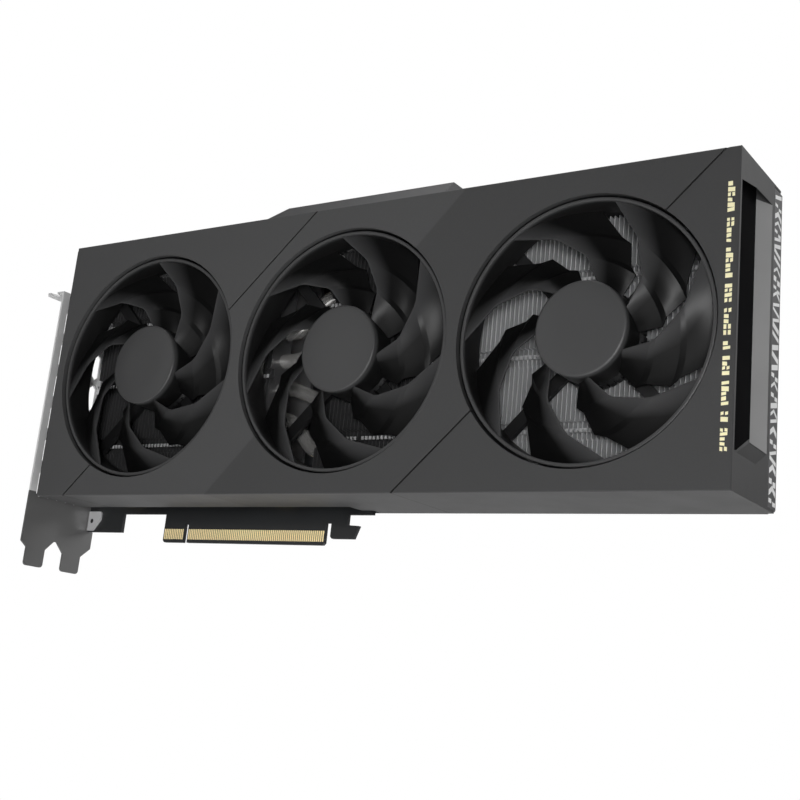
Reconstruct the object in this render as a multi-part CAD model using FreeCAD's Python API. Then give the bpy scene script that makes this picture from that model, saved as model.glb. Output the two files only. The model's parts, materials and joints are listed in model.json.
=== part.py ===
import FreeCAD, Part
import math
import os

# Triple-fan graphics card, millimetres. The origin is the centre of the key notch, at the lower edge of
# the slot connector, mid board thickness. +X runs along the card away from its bracket, +Y from the fans
# towards the backplate, +Z up from the slot.

V = FreeCAD.Vector

# ---- cooler envelope -------------------------------------------------------------------------------
cooler_length = 300.5
cooler_height = 110.7
cooler_left = -53.3
cooler_bottom = 13.3
front_to_board = 36.4
side_depth = 27.4
full_depth_from = 143.0
plate_thickness = 2.0
wall = 1.8
end_wall = 6.3
recess_depth = 4.2
recess_lip = 1.6
recess_floor_edge = 27.0
recess_slope_edge = 31.3
recess_low = 12.2
recess_high = 102.4
recess_floor_low = 20.3
rim_chamfer = 0.3

# ---- board and slot connector ----------------------------------------------------------------------
board_thickness = 1.57
board_length = 152.95
board_left_gap = 0.4
board_top_gap = 4.0
board_lower_edge = 11.9
first_post = 20.15
second_post = 105.55
notch_width = 1.9
notch_height = 7.6
short_contacts = 11.65
long_contacts = 71.65
contact_pitch = 1.0
contact_width = 0.7
contact_low = 1.3
contact_high = 5.6
contact_thickness = 0.05
hook_start = 75.1
hook_depth = 2.6

cover_grooves = ((14.3, 133.1), (178.0, 296.4))
groove_width = 0.9
groove_depth = 0.6
boss_rib = 2.0
fan_hole_floor = 7.0
long_hole_depth = 8.0
recess_corner_run = 10.5
recess_corner_rise = 5.1
guard_left = 107.0
guard_right = 190.0
guard_rise = 5.9
guard_depth = 24.0
guard_setback = 0.5

# ---- fans ------------------------------------------------------------------------------------------
fan_count = 3
fan_height = 54.3
first_fan = 51.05
last_fan_inset = 52.75
opening_radius = 47.0
ring_gap = 0.8
ring_wall = 1.4
ring_front = 1.2
ring_back = 12.5
duct_wall = 1.0
duct_gap = 0.05
hub_radius = 16.6
hub_wall = 1.2
hub_face = 1.6
hub_back = 11.0
blade_count = 7
blade_thickness = 1.0
first_blade_angles = (93.3, 97.0, 78.9)
shaft_radius = 1.0
shaft_clearance = 0.03
bearing_wall = 1.6
tube_wall = 1.0
magnet_thickness = 2.2
stator_gap = 0.4
motor_base_y = 13.6
motor_base_thickness = 2.0
motor_base_radius = 17.2
motor_base_rise = 1.6
motor_rib_count = 40
strut_width = 4.5
strut_angle = 45.0
fan_screw_circle = 52.0
fan_screw_radius = 1.0
fan_boss_radius = 3.0
screw_clearance = 0.15
lead_radius = 0.6
lead_bend = 2.4

# ---- heatsink --------------------------------------------------------------------------------------
fin_front = 17.0
fin_back_over_board = 28.2
fin_back_gap = 0.6
fin_pitch = 1.75
fin_thickness = 0.35
fin_margin = 9.2
fin_top_margin = 11.0
tab_band = 6.4
tab_height = 1.2
tab_recess = 2.6
first_tab_row = 24.1
tab_row_pitch = 26.8
tab_row_count = 3
left_stack_start = 8.0
left_stack_end = 106.0
right_stack_start = 131.0
full_fin_start = 152.0
stack_end_gap = 2.0
pipe_radius = 3.0
pipe_depth = 25.0
pipe_bend = 12.0
pipe_spread = (-14.0, -5.0, 5.0, 14.0)
pipe_pitch = 12.0

# ---- processor, memory and power stage -------------------------------------------------------------
gpu_x = 20.0
gpu_z = 66.0
package_size = 36.0
package_height = 1.2
die_size = 19.0
die_height = 0.8
cold_plate_size = 44.0
memory_width = 12.0
memory_length = 14.0
memory_height = 1.2
memory_offset = 30.0
memory_pitch = 17.0
pad_height = 1.0
base_plate_thickness = 1.6
base_plate_left = -20.0
base_plate_right = 60.0
base_plate_margin = 34.0
retention_offset = 27.0
retention_screw_radius = 1.25
retention_thickness = 1.0

# ---- power inlet -----------------------------------------------------------------------------------
power_socket_width = 20.0
power_socket_height = 8.0
power_socket_depth = 13.0
power_socket_wall = 1.0
pin_recess = 4.8

# ---- backplate and end trim ------------------------------------------------------------------------
backplate_gap = 2.0
backplate_thickness = 2.0
trim_thickness = 2.2
trim_front = 33.2
trim_margin = 0.8
window_margin = 10.0
window_corner = 14.0
long_screw_radius = 1.25
long_boss_radius = 2.8
head_radius = 2.2
head_height = 1.2

# ---- bracket ---------------------------------------------------------------------------------------
bracket_inner_x = -59.05
bracket_thickness = 0.86
bracket_width = 38.74
bracket_back_y = 2.72
bracket_height = 120.02
tongue_bottom = -15.1
tongue_width = 10.19
slot_pitch = 20.32
tongue_centre_y = -7.45
tongue_length = 7.6
flange_length = 11.4
flange_hole_radius = 2.2
flange_hole_inset = 5.7
flange_hole_y = -15.0
vent_pitch_y = 5.0
vent_pitch_z = 14.25
ear_hole_inset = 2.9
ear_hole_radius = 1.0

# ---- display sockets -------------------------------------------------------------------------------
socket_count = 4
socket_pitch = 21.4
first_socket_z = 26.3
socket_height = 5.8
socket_width = 18.7
hdmi_width = 16.0
socket_depth = 18.0
socket_wall = 0.5
socket_stand_out = 0.4
socket_window_gap = 0.3
tongue_recess = 4.6

# ---- derived places --------------------------------------------------------------------------------
board_front = -board_thickness / 2
board_back = board_thickness / 2
front = board_front - front_to_board
right = cooler_left + cooler_length
bottom = cooler_bottom
top = cooler_bottom + cooler_height
step_x = cooler_left + full_depth_from
backplate_front = board_back + backplate_gap
backplate_back = backplate_front + backplate_thickness
board_left = bracket_inner_x + board_left_gap
board_right = board_left + board_length
board_top = top - board_top_gap
fan_z = bottom + fan_height
last_fan = cooler_length - last_fan_inset
fan_pitch = (last_fan - first_fan) / (fan_count - 1)
fan_xs = [cooler_left + first_fan + i * fan_pitch for i in range(fan_count)]
ring_radius = opening_radius - ring_gap
fin_low = bottom + fin_margin
fin_high = top - fin_top_margin
die_front = board_front - package_height - die_height
plate_back = board_front - memory_height - pad_height
plate_front = plate_back - base_plate_thickness
pipe_y = front + pipe_depth
pipe_zs = [gpu_z + (i - 1.5) * pipe_pitch for i in range(len(pipe_spread))]
bearing_radius = shaft_radius + shaft_clearance + bearing_wall
tube_radius = bearing_radius + tube_wall
magnet_outer = hub_radius - hub_wall
magnet_inner = magnet_outer - magnet_thickness
left_boss_xs = (board_left + first_post, board_left + second_post)
right_boss_xs = ((fan_xs[1] + fan_xs[2]) / 2, right - 9.2)
left_boss_zs = (bottom + 4.9, board_top - 3.7)
right_boss_zs = (bottom + 4.7, top - 4.7)
socket_zs = [first_socket_z + i * socket_pitch for i in range(socket_count)]


def box(x0, x1, y0, y1, z0, z1):
    return Part.makeBox(x1 - x0, y1 - y0, z1 - z0, V(x0, y0, z0))


def rod(x, z, radius, y0, y1):
    """A cylinder along Y."""
    return Part.makeCylinder(radius, y1 - y0, V(x, y0, z), V(0, 1, 0))


def tube(x, z, outer, inner, y0, y1):
    return rod(x, z, outer, y0, y1).cut(rod(x, z, inner, y0 - 1, y1 + 1))


def plate(points, y0, y1):
    """A plate of constant thickness in Y from its outline in X and Z."""
    corners = [V(x, y0, z) for x, z in points]
    return Part.Face(Part.makePolygon(corners + corners[:1])).extrude(V(0, y1 - y0, 0))


def bar(points, x0, x1):
    """A bar along X from its section in Y and Z."""
    corners = [V(x0, y, z) for y, z in points]
    return Part.Face(Part.makePolygon(corners + corners[:1])).extrude(V(x1 - x0, 0, 0))


def polyhedron(corners, faces):
    shells = [Part.Face(Part.makePolygon([V(*corners[i]) for i in face + face[:1]])) for face in faces]
    solid = Part.makeSolid(Part.makeShell(shells))
    if solid.Volume < 0:
        solid.reverse()
    return solid


def joined(shapes):
    return shapes[0].multiFuse(shapes[1:]).removeSplitter()


def without(shape, tools):
    return shape.cut(tools)


def rounded_path(points, radius):
    """Straight runs joined by tangent arcs."""
    points = [V(*p) for p in points]
    edges = []
    start = points[0]
    for before, corner, after in zip(points, points[1:], points[2:]):
        back = (before - corner).normalize()
        ahead = (after - corner).normalize()
        half_turn = (math.pi - back.getAngle(ahead)) / 2
        reach = radius * math.tan(half_turn)
        enter = corner + back * reach
        leave = corner + ahead * reach
        middle = (back + ahead).normalize()
        crown = corner + middle * (radius / math.cos(half_turn) - radius)
        edges.append(Part.LineSegment(start, enter).toShape())
        edges.append(Part.Arc(enter, crown, leave).toShape())
        start = leave
    edges.append(Part.LineSegment(start, points[-1]).toShape())
    return Part.Wire(edges)


def round_bar(points, bend, radius):
    """A round bar or wire along a rounded path."""
    path = rounded_path(points, bend)
    direction = V(*points[1]) - V(*points[0])
    section = Part.Wire(Part.makeCircle(radius, V(*points[0]), direction))
    return path.makePipeShell([section], True, False)


def write(name, shapes):
    shape = shapes[0] if len(shapes) == 1 else Part.makeCompound(shapes)
    shape.exportStep("parts/" + name + ".step")


# ---- shroud ----------------------------------------------------------------------------------------

def fan_screw_places(x):
    places = []
    for quarter in range(4):
        angle = math.radians(strut_angle + 90 * quarter)
        places.append((x + fan_screw_circle * math.cos(angle), fan_z + fan_screw_circle * math.sin(angle)))
    return places


def groove(x0, x1, width, depth):
    """A shallow slanted groove across the front face, from its lower edge to its upper edge."""
    low = bottom - 1
    high = top + 1
    outline = [(x0, low), (x0 + width, low), (x1 + width, high), (x1, high)]
    return plate(outline, front - 1, front + depth)


def end_recess():
    """The sloped recess in the end wall: its outline at the surface, and its smaller floor."""
    floor_x = right - recess_depth
    lip = front + recess_lip
    slope = front + recess_slope_edge
    floor_edge = front + recess_floor_edge
    low = bottom + recess_low
    high = bottom + recess_high
    floor_low = bottom + recess_floor_low
    run = recess_corner_run
    rise = recess_corner_rise
    corner_y = floor_edge - 1.24 * run
    corner_z = floor_low - 1.24 * rise
    corners = [
        (right, lip, low), (right, slope - run, low), (right, slope, low + rise), (right, slope, high),
        (right, front + 15.2, high - 0.3), (right, lip, high - 2.8),
        (floor_x, lip, corner_z), (floor_x, corner_y, corner_z), (floor_x, floor_edge, floor_low),
        (floor_x, floor_edge, high + 1.1), (floor_x, floor_edge - 0.5, high + 5.3), (floor_x, lip, high + 5.3),
    ]
    faces = [
        (0, 1, 2, 3, 4, 5), (6, 7, 8, 9, 10, 11), (0, 5, 11, 6), (0, 1, 7, 6), (1, 2, 8, 7), (2, 3, 9, 8),
        (3, 10, 9), (3, 4, 10), (4, 11, 10), (4, 5, 11),
    ]
    return polyhedron(corners, faces)


def end_inlay():
    """The black glossy plate on the floor of the end recess."""
    floor_x = right - recess_depth
    inset = 0.9
    y0 = front + recess_lip + inset
    y1 = front + recess_floor_edge - inset
    z0 = bottom + recess_floor_low - 5.0
    z1 = bottom + recess_high + 4.4
    outline = [(y0, z0), (y1 - 12.0, z0), (y1, z0 + 6.2), (y1, z1), (y0, z1)]
    return bar(outline, floor_x, floor_x + 0.4)


def lead_y():
    """Depth of the fan leads, just behind the struts."""
    return front + motor_base_y + motor_base_thickness + lead_radius + 0.02


def lead_lane(i):
    """Height of each lead's run in the channel over the fins."""
    lanes = (top - wall - 1.5, top - wall - 3.1, fin_high + 1.6)
    return lanes[i]


def front_shroud():
    """The front cover: a plate with the fan openings and two slanted grooves."""
    inside = front + plate_thickness
    body = box(cooler_left, right, front, inside, bottom, top)
    rim = [e for e in body.Edges if all(abs(v.Y - front) < 1e-6 for v in e.Vertexes)]
    body = body.makeChamfer(rim_chamfer, rim)
    cuts = [end_recess()]
    for x in fan_xs:
        cuts.append(rod(x, fan_z, opening_radius, front - 1, inside + 1))
    for low_end, high_end in cover_grooves:
        cuts.append(groove(cooler_left + low_end, cooler_left + high_end, groove_width, groove_depth))
    return without(body, cuts)


def cover_bosses():
    """The screw bosses behind the front cover, each with its pilot hole, and the left ones with their ribs."""
    inside = front + plate_thickness
    notch_x = left_boss_xs[1]
    notch = box(notch_x - 2, notch_x + 2, lead_y() - 1.2, lead_y() + 1.2, lead_lane(0) - 1.2, lead_lane(0) + 1.2)
    bosses = []
    for x in fan_xs:
        for sx, sz in fan_screw_places(x):
            post = rod(sx, sz, fan_boss_radius, inside, front + motor_base_y)
            hole = rod(sx, sz, fan_screw_radius, front + fan_hole_floor, front + motor_base_y + 1)
            bosses.append(post.cut(hole))
    for x in left_boss_xs:
        for z, low, high in ((left_boss_zs[0], bottom + wall, left_boss_zs[0]),
                             (left_boss_zs[1], left_boss_zs[1], top - wall)):
            end = front + side_depth
            post = rod(x, z, long_boss_radius, inside, end)
            rib = box(x - boss_rib / 2, x + boss_rib / 2, inside, end, low, high)
            hole = rod(x, z, long_screw_radius, end - long_hole_depth, end + 1)
            bosses.append(without(post.fuse(rib), [hole, notch]))
    for x in right_boss_xs:
        for z in right_boss_zs:
            post = rod(x, z, long_boss_radius, inside, backplate_front)
            hole = rod(x, z, long_screw_radius, backplate_front - long_hole_depth, backplate_front + 1)
            bosses.append(post.cut(hole))
    return bosses


def shroud_frame():
    """The walls behind the front cover, open at the bracket's end."""
    inside = front + plate_thickness
    shallow = box(cooler_left, step_x, inside, front + side_depth, bottom, top)
    deep = box(step_x, right, inside, backplate_front, bottom, top)
    hollow = box(cooler_left - 1, right - end_wall, inside - 1, backplate_front + 1, bottom + wall, top - wall)
    trim_seat = box(right - trim_thickness, right + 1, front + trim_front, backplate_back,
                    bottom + trim_margin, top - trim_margin)
    board_notch = box(step_x - 1, board_right + 0.6, board_front - 0.6, backplate_front + 1, bottom - 1,
                      bottom + wall + 1)
    last_duct = rod(fan_xs[-1], fan_z, opening_radius + duct_wall + duct_gap, inside - 1,
                    front + motor_base_y + motor_base_thickness + duct_gap)
    return joined([shallow, deep]).cut([hollow, end_recess(), trim_seat, board_notch, last_duct])


def power_guard():
    """The raised block on the top edge, in front of the power socket."""
    x0 = cooler_left + guard_left
    x1 = cooler_left + guard_right
    rise = guard_rise
    depth = guard_depth
    corners = [
        (x0, front + guard_setback, top), (x1, front + guard_setback, top), (x1, front + depth, top), (x0, front + depth, top),
        (x0 + rise, front + rise, top + rise), (x1, front + rise, top + rise),
        (x1, front + depth, top + rise), (x0 + rise, front + depth, top + rise),
    ]
    faces = [(0, 3, 2, 1), (4, 5, 6, 7), (0, 1, 5, 4), (1, 2, 6, 5), (2, 3, 7, 6), (3, 0, 4, 7)]
    return polyhedron(corners, faces)


def end_trim():
    strip = box(right - trim_thickness, right, front + trim_front, backplate_back,
                bottom + trim_margin, top - trim_margin)
    rim = [e for e in strip.Edges if all(abs(v.X - right) < 1e-6 for v in e.Vertexes)]
    return strip.makeChamfer(0.4, rim)


# ---- fans ------------------------------------------------------------------------------------------

def blade():
    """One blade of flat facets, about the Y axis at the origin, its leading edge meeting the ring at +X."""
    stations = (
        # radius, leading angle, trailing angle, leading depth, trailing depth
        (hub_radius - hub_wall / 2, -56.0, -79.0, 2.4, 10.6),
        (24.8, -41.0, -76.0, 2.1, 10.9),
        (26.4, -38.0, -69.0, 2.0, 10.8),
        (33.8, -22.0, -61.5, 1.8, 11.1),
        (35.4, -19.0, -54.5, 1.7, 11.0),
        (ring_radius - ring_wall / 2, 0.0, -40.5, 1.9, 11.2),
    )
    chord = ((0.0, 0.0), (0.18, 0.10), (0.40, 0.33), (0.64, 0.64), (1.0, 1.0))
    front_points = []
    back_points = []
    for radius, lead, trail, y_lead, y_trail in stations:
        for along, down in chord:
            angle = math.radians(lead + (trail - lead) * along)
            y = y_lead + (y_trail - y_lead - blade_thickness) * down
            x = radius * math.cos(angle)
            z = radius * math.sin(angle)
            front_points.append((x, y, z))
            back_points.append((x, y + blade_thickness, z))
    rows = len(stations)
    columns = len(chord)
    corners = front_points + back_points
    behind = len(front_points)
    faces = []
    for i in range(rows - 1):
        for j in range(columns - 1):
            a = i * columns + j
            b = a + 1
            c = a + columns
            d = c + 1
            faces += [(a, b, d), (a, d, c)]
            faces += [(behind + a, behind + d, behind + b), (behind + a, behind + c, behind + d)]
    for j in range(columns - 1):
        low = j
        high = (rows - 1) * columns + j
        faces += [(low, low + 1, behind + low + 1, behind + low)]
        faces += [(high, high + 1, behind + high + 1, behind + high)]
    for i in range(rows - 1):
        lead_edge = i * columns
        trail_edge = lead_edge + columns - 1
        faces += [(lead_edge, lead_edge + columns, behind + lead_edge + columns, behind + lead_edge)]
        faces += [(trail_edge, trail_edge + columns, behind + trail_edge + columns, behind + trail_edge)]
    return polyhedron(corners, faces)


def rotor():
    """Hub, blades and outer ring in one moulding, about the Y axis at the origin."""
    ring = tube(0, 0, ring_radius, ring_radius - ring_wall, ring_front, ring_back)
    cup = rod(0, 0, hub_radius, 0, hub_back)
    front_edge = [e for e in cup.Edges if abs(e.BoundBox.YMax) < 1e-6]
    cup = cup.makeChamfer(0.4, front_edge)
    cup = cup.cut(rod(0, 0, magnet_outer, hub_face, hub_back + 1))
    boss = tube(0, 0, shaft_radius + 1.4, shaft_radius, hub_face - 0.2, hub_face + 2.4)
    cup = cup.fuse(boss).cut(rod(0, 0, shaft_radius, 1.0, hub_back))
    one = blade()
    blades = []
    for i in range(blade_count):
        turned = one.copy()
        turned.rotate(V(0, 0, 0), V(0, -1, 0), 360.0 / blade_count * i)
        blades.append(turned)
    return cup.multiFuse([ring] + blades)


def placed(shape, x, angle=0.0):
    """A fan piece made about the origin, turned anticlockwise as seen from the fans, in its place."""
    moved = shape.copy()
    moved.rotate(V(0, 0, 0), V(0, -1, 0), angle)
    moved.translate(V(x, front, fan_z))
    return moved


def stator():
    """Six wound poles round the bearing tube, about the Y axis at the origin."""
    y0 = 4.4
    y1 = 9.4
    tip = magnet_inner - stator_gap
    shoe = 1.2
    core = [tube(0, 0, tube_radius + 1.6, tube_radius, y0, y1)]
    coils = []
    for i in range(6):
        arm = Part.makeBox(tip - shoe + 0.4 - tube_radius - 1.2, y1 - y0, 1.8, V(tube_radius + 1.2, y0, -0.9))
        wedge = Part.makeCylinder(tip, y1 - y0, V(0, y0, 0), V(0, 1, 0), 44)
        wedge.rotate(V(0, 0, 0), V(0, 1, 0), -22)
        face = wedge.cut(rod(0, 0, tip - shoe, y0 - 1, y1 + 1))
        outer = Part.makeBox(5.4, y1 - y0 + 1.6, 4.0, V(tube_radius + 1.9, y0 - 0.8, -2.0))
        coil = outer.cut(Part.makeBox(7.4, y1 - y0, 1.8, V(tube_radius + 1.2, y0, -0.9)))
        for piece in (arm, face, coil):
            piece.rotate(V(0, 0, 0), V(0, 1, 0), 60 * i)
        core += [arm, face]
        coils.append(coil)
    return [joined(core)] + coils


def fan_frame():
    """Motor base, bearing tube, struts and the ring round the blades, about the Y axis at the origin."""
    back = motor_base_y + motor_base_thickness
    base = rod(0, 0, motor_base_radius, motor_base_y - motor_base_rise, back)
    front_edge = [e for e in base.Edges if abs(e.BoundBox.YMax - motor_base_y + motor_base_rise) < 1e-6]
    base = base.makeChamfer(1.0, front_edge)
    ribs = []
    for i in range(motor_rib_count):
        rib = box(motor_base_radius - 0.5, motor_base_radius + 1, motor_base_y - 3, back + 1, -0.35, 0.35)
        rib.rotate(V(0, 0, 0), V(0, 1, 0), 360.0 / motor_rib_count * i)
        ribs.append(rib)
    pieces = [base.cut(ribs)]
    pieces.append(tube(0, 0, tube_radius, bearing_radius, 4.0, motor_base_y + 0.5))
    pieces.append(tube(0, 0, opening_radius + duct_wall, opening_radius, plate_thickness, back))
    for quarter in range(4):
        strut = box(0, fan_screw_circle, motor_base_y, back, -strut_width / 2, strut_width / 2)
        pad = rod(fan_screw_circle, 0, fan_boss_radius, motor_base_y, back)
        for piece in (strut, pad):
            piece.rotate(V(0, 0, 0), V(0, 1, 0), strut_angle + 90 * quarter)
            pieces.append(piece)
    frame = joined(pieces)
    holes = [rod(0, 0, bearing_radius, 3.0, motor_base_y)]
    for sx, sz in fan_screw_places(0):
        holes.append(rod(sx, sz - fan_z, fan_screw_radius + screw_clearance, motor_base_y - 1, back + 1))
    return frame.cut(holes)


def make_fans():
    moulding = rotor()
    magnet = tube(0, 0, magnet_outer, magnet_inner, hub_face, hub_back - 0.5)
    shaft = rod(0, 0, shaft_radius, 1.0, motor_base_y - 0.3)
    bearing = tube(0, 0, bearing_radius, shaft_radius + shaft_clearance, 4.3, motor_base_y - 0.05)
    frame = fan_frame()
    core = stator()
    for i, x in enumerate(fan_xs):
        name = str(i + 1)
        angle = first_blade_angles[i]
        write("rotor_" + name, [placed(moulding, x, angle)])
        write("rotor_magnet_" + name, [placed(magnet, x)])
        write("rotor_shaft_" + name, [placed(shaft, x)])
        write("fan_bearing_" + name, [placed(bearing, x)])
        write("fan_frame_" + name, [placed(frame, x)])
        write("fan_stator_" + name, [placed(piece, x) for piece in core])


def fan_screws():
    screws = []
    head_y = front + motor_base_y + motor_base_thickness
    for x in fan_xs:
        for sx, sz in fan_screw_places(x):
            head = rod(sx, sz, 1.9, head_y, head_y + 1.1)
            shank = rod(sx, sz, fan_screw_radius, head_y - 6.0, head_y)
            socket = rod(sx, sz, 0.8, head_y + 0.5, head_y + 2)
            screws.append(joined([head, shank]).cut(socket))
    return screws


def header_xs():
    first = power_socket_left() + power_socket_width + 3.8
    return [first + 6.0 * i for i in range(fan_count)]


def fan_leads():
    """Each fan's lead runs out along a strut, up to the channel over the fins and back to its header."""
    y = lead_y()
    drop_y = front + 24.0
    header_z = board_top - 2.6
    end_y = board_front - 3.6
    leads = []
    for i, x in enumerate(fan_xs):
        side = -1 if x < header_xs()[i] else 1
        near = 0.7071 * (magnet_outer + 1.0)
        far = 0.7071 * (fan_screw_circle - 9.0)
        lane = lead_lane(i)
        points = [
            (x + side * near, y, fan_z + near),
            (x + side * far, y, fan_z + far),
            (x + side * far, y, lane),
            (header_xs()[i], y, lane),
            (header_xs()[i], drop_y, header_z),
            (header_xs()[i], end_y, header_z),
        ]
        leads.append(round_bar(points, lead_bend, lead_radius))
    return leads


# ---- heatsink --------------------------------------------------------------------------------------

def pipe_points(i):
    z0 = pipe_zs[i]
    z1 = z0 + pipe_spread[i]
    start = cooler_left + left_stack_start + 3.0
    end = right - end_wall - stack_end_gap - 3.0
    bend_in = cooler_left + left_stack_end + 6.0
    bend_out = cooler_left + right_stack_start - 6.0
    return [(start, pipe_y, z0), (bend_in, pipe_y, z0), (bend_out, pipe_y, z1), (end, pipe_y, z1)]


def heat_pipe(i):
    return round_bar(pipe_points(i), pipe_bend, pipe_radius)


def pipe_hole(x0, x1, z):
    return Part.makeCylinder(pipe_radius, x1 - x0, V(x0, pipe_y, z), V(1, 0, 0))


def fin_row(x0, x1, y0, y1):
    count = int((x1 - x0 - fin_thickness) / fin_pitch) + 1
    fins = []
    for i in range(count):
        x = x0 + i * fin_pitch
        fins.append(box(x, x + fin_thickness, y0, y1, fin_low, fin_high))
    return fins


def tab_row_heights():
    return [bottom + first_tab_row + tab_row_pitch * i for i in range(tab_row_count)]


def fin_stack(fins, zs, cuts):
    """Fins tied into one pack along their back edges, with recessed rows of tabs along their front edges."""
    x0 = min(f.BoundBox.XMin for f in fins)
    x1 = max(f.BoundBox.XMax for f in fins)
    y0 = fins[0].BoundBox.YMin
    y1 = fins[0].BoundBox.YMax
    ties = []
    tools = [pipe_hole(x0 - 1, x1 + 1, z) for z in zs] + cuts
    for z in tab_row_heights():
        ties.append(box(x0, x1, y1 - fin_thickness, y1, z - tab_band / 2, z + tab_band / 2))
        tools.append(box(x0 - 1, x1 + 1, y0 - 1, y0 + tab_recess, z + tab_height / 2, z + tab_band / 2))
        tools.append(box(x0 - 1, x1 + 1, y0 - 1, y0 + tab_recess, z - tab_band / 2, z - tab_height / 2))
    return fins[0].multiFuse(fins[1:] + ties).cut(tools)


def cold_plate_box():
    half = cold_plate_size / 2
    return box(gpu_x - half, gpu_x + half, pipe_y, die_front, gpu_z - half, gpu_z + half)


def left_fin_stack():
    x0 = cooler_left + left_stack_start
    x1 = cooler_left + left_stack_end
    fins = fin_row(x0, x1, front + fin_front, front + fin_back_over_board)
    return fin_stack(fins, pipe_zs, [cold_plate_box()])


def far_pipe_zs():
    return [z + spread for z, spread in zip(pipe_zs, pipe_spread)]


def middle_fin_stack():
    """The fins past the pipes' bends, which stop short of the board."""
    x0 = cooler_left + right_stack_start
    x1 = cooler_left + full_fin_start - fin_pitch / 2
    fins = fin_row(x0, x1, front + fin_front, front + fin_back_over_board)
    return fin_stack(fins, far_pipe_zs(), [])


def right_fin_stack():
    """The deep fins past the board's end, open at the back."""
    x0 = cooler_left + full_fin_start
    x1 = right - end_wall - stack_end_gap
    fins = fin_row(x0, x1, front + fin_front, backplate_front - fin_back_gap)
    return fin_stack(fins, far_pipe_zs(), [])


def cold_plate():
    grooves = [pipe_hole(gpu_x - 40, gpu_x + 40, z) for z in pipe_zs]
    return cold_plate_box().cut(grooves)


# ---- board and its parts ---------------------------------------------------------------------------

def retention_places():
    return [(gpu_x + sx * retention_offset, gpu_z + sz * retention_offset) for sx in (-1, 1) for sz in (-1, 1)]


def board():
    half = notch_width / 2
    x_short = -half - short_contacts
    x_long = half + long_contacts
    hook_x1 = hook_start + 11.2
    outline = [
        (board_left, 3.9), (-37.8, 3.9), (-37.8, board_lower_edge), (x_short, board_lower_edge),
        (x_short, 0.8), (x_short + 0.8, 0), (-half, 0), (-half, notch_height), (half, notch_height), (half, 0),
        (x_long - 0.8, 0), (x_long, 0.8), (x_long, notch_height + 1.0), (hook_start, notch_height + 1.0),
        (hook_start, hook_depth + 0.8), (hook_start + 0.8, hook_depth), (hook_x1, hook_depth),
        (hook_x1 + 2.0, 7.6), (hook_start + 7.7, 7.9), (hook_start + 7.7, board_lower_edge),
        (board_right, board_lower_edge), (board_right, board_top), (board_left, board_top),
    ]
    shape = plate(outline, board_front, board_back)
    holes = []
    for x, z in retention_places():
        holes.append(rod(x, z, retention_screw_radius + 0.35, board_front - 1, board_back + 1))
    for x in left_boss_xs:
        for z in left_boss_zs:
            holes.append(rod(x, z, long_screw_radius + 0.35, board_front - 1, board_back + 1))
    for x, z in bracket_screw_places():
        holes.append(rod(x, z, ear_hole_radius, board_front - 1, board_back + 1))
    return shape.cut(holes)


def edge_contacts():
    pads = []
    half = notch_width / 2
    spans = ((-half - short_contacts, -half), (half, half + long_contacts))
    for x0, x1 in spans:
        count = int((x1 - x0) / contact_pitch)
        first = x0 + (x1 - x0 - (count - 1) * contact_pitch) / 2
        for i in range(count):
            x = first + i * contact_pitch
            x_low = x - contact_width / 2
            x_high = x + contact_width / 2
            pads.append(box(x_low, x_high, board_front - contact_thickness, board_front, contact_low, contact_high))
            pads.append(box(x_low, x_high, board_back, board_back + contact_thickness, contact_low, contact_high))
    return pads


def on_board(x, z, width, length, height):
    """A block on the board's front face."""
    return box(x - width / 2, x + width / 2, board_front - height, board_front, z - length / 2, z + length / 2)


def memory_places():
    places = []
    for side in (-1, 1):
        for step in (-1, 0, 1):
            places.append((gpu_x + side * memory_offset, gpu_z + step * memory_pitch))
        places.append((gpu_x + side * 9.0, gpu_z + memory_offset + 2.0))
    return places


def power_places():
    return [(board_right - 24.0, fin_low + 6.0 + 9.4 * i) for i in range(8)]


def thermal_pads():
    pads = []
    for x, z in memory_places():
        pads.append(box(x - memory_width / 2, x + memory_width / 2, plate_back, board_front - memory_height,
                        z - memory_length / 2, z + memory_length / 2))
    return pads


def base_plate():
    half = cold_plate_size / 2 + 1.0
    body = box(base_plate_left, base_plate_right, plate_front, plate_back,
               gpu_z - base_plate_margin, board_top - power_socket_depth - 1.0)
    cuts = [box(gpu_x - half, gpu_x + half, plate_front - 1, plate_back + 1, gpu_z - half, gpu_z + half)]
    for x, z in retention_places():
        cuts.append(rod(x, z, retention_screw_radius, plate_front - 1, plate_back + 1))
    return body.cut(cuts)


def retention_spring():
    """Cross-shaped leaf spring behind the board."""
    y0 = board_back
    y1 = board_back + retention_thickness
    pieces = [rod(gpu_x, gpu_z, 9.0, y0, y1)]
    reach = retention_offset * math.sqrt(2)
    for sign in (-1, 1):
        arm = box(-reach, reach, y0, y1, -3.0, 3.0)
        arm.rotate(V(0, 0, 0), V(0, 1, 0), sign * 45)
        arm.translate(V(gpu_x, 0, gpu_z))
        pieces.append(arm)
    holes = []
    for x, z in retention_places():
        pieces.append(rod(x, z, 3.6, y0, y1))
        holes.append(rod(x, z, retention_screw_radius + screw_clearance, y0 - 1, y1 + 1))
    return joined(pieces).cut(holes)


def retention_screws():
    screws = []
    y = board_back + retention_thickness
    for x, z in retention_places():
        head = rod(x, z, 2.4, y, y + 0.8)
        shank = rod(x, z, retention_screw_radius, plate_front, y)
        slot = box(x - 1.5, x + 1.5, y + 0.4, y + 2, z - 0.3, z + 0.3)
        screws.append(joined([head, shank]).cut(slot))
    return screws


def standoffs():
    posts = []
    for x in left_boss_xs:
        for z in left_boss_zs:
            posts.append(tube(x, z, long_boss_radius, long_screw_radius, front + side_depth, board_front))
    return posts


def power_socket_left():
    return left_boss_xs[1] + long_boss_radius + 0.8


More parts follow.
